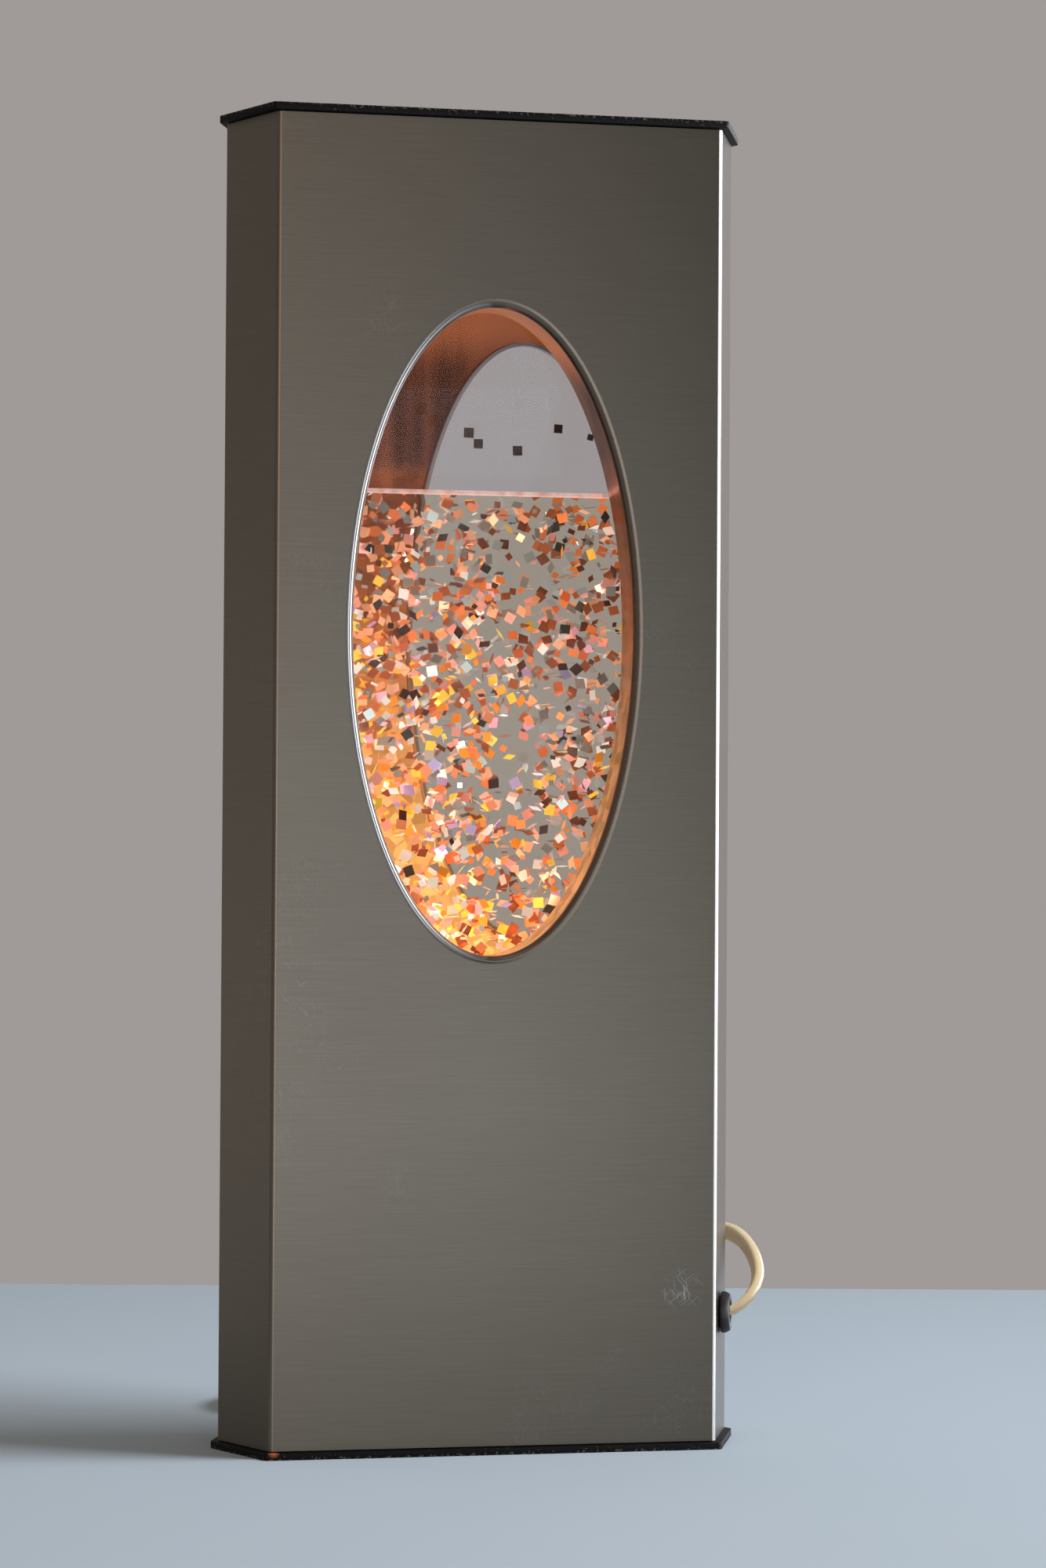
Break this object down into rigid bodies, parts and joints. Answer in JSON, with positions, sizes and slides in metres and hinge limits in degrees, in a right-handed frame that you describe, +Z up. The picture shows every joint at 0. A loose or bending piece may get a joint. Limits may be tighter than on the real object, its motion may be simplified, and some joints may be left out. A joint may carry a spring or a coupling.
{
  "type": "glitter lamp",
  "caption": "Tall flat glitter lamp: bent steel case, elliptical window, clear vessel of liquid and flakes over a bulb, flat cord with in-line switch and plug.",
  "frame": {"origin": "centre of the base plate's underside, on the table", "axes": "+Z up, -Y out of the front window, +X to the right seen from the front"},
  "size_m": [0.1612, 0.1704, 0.38],
  "materials": {
    "brushed_steel": "brushed lengthways, warm grey",
    "bright_steel": "polished",
    "copper": "copper coloured, satin",
    "black_plate": "matt black enamel",
    "vessel_clear": "clear acrylic",
    "liquid": "clear liquid with square foil flakes",
    "amber_filter": "clear amber",
    "rubber": "black, moulded",
    "zinc": "zinc plated",
    "bakelite": "dark brown, moulded",
    "brass": "bright",
    "bulb_glass": "clear glass, warm",
    "tungsten": "hot wire on its stem",
    "cord_cream": "cream flexible plastic",
    "lead_black": "black insulation",
    "lead_white": "white insulation"
  },
  "bodies": {
    "lamp": {"front_shell": "brushed_steel", "rear_shell": "brushed_steel", "front_window_sleeve": "bright_steel", "rear_window_rim": "bright_steel", "copper_liner": "copper", "base_plate": "black_plate", "vessel": "vessel_clear", "glitter_liquid": "liquid", "vessel_lid": "vessel_clear", "filler_plug": "rubber", "vessel_shelf": "zinc", "amber_filter": "amber_filter", "vessel_pad_left": "rubber", "vessel_pad_right": "rubber", "holder_bracket": "zinc", "holder_tube": "zinc", "holder_nut": "zinc", "holder_body": "bakelite", "holder_screw_shell": "brass", "holder_contact": "brass", "bulb_tip": "brass", "bulb_screw_base": "brass", "bulb_glass": "bulb_glass", "bulb_filament": "tungsten", "cord_grommet": "rubber", "cord_inner": "cord_cream", "lead_line": "lead_black", "lead_neutral": "lead_white", "cord_clamp": "zinc", "cord_to_switch": "cord_cream", "switch_base": "cord_cream", "switch_cover": "cord_cream", "rocker_pin": "zinc", "contact_spring": "brass", "cord_to_coil": "cord_cream", "cord_coil": "cord_cream", "coil_tie": "rubber", "cord_to_plug": "cord_cream", "plug_body": "cord_cream", "base_screw_1": "zinc", "rear_screw_1": "zinc", "base_screw_2": "zinc", "rear_screw_2": "zinc", "base_screw_3": "zinc", "rear_screw_3": "zinc", "base_screw_4": "zinc", "rear_screw_4": "zinc", "bracket_screw_1": "zinc", "clamp_screw_1": "zinc", "switch_screw_1": "zinc", "plug_blade_1": "brass", "bracket_screw_2": "zinc", "clamp_screw_2": "zinc", "switch_screw_2": "zinc", "plug_blade_2": "brass"},
    "rocker": {"switch_rocker": "cord_cream"},
    "top": {"top_plate": "black_plate"}
  },
  "joints": [
    {"name": "switch_rocker_hinge", "type": "hinge", "parent": "lamp", "child": "rocker", "pos_m": [0.05, 0.085, 0.013], "axis": [1, 0, 0], "range_deg": [0, 20]},
    {"name": "top_plate_lift", "type": "slide", "parent": "lamp", "child": "top", "axis": [0, 0, 1], "range_m": [0, 0.03]}
  ]
}
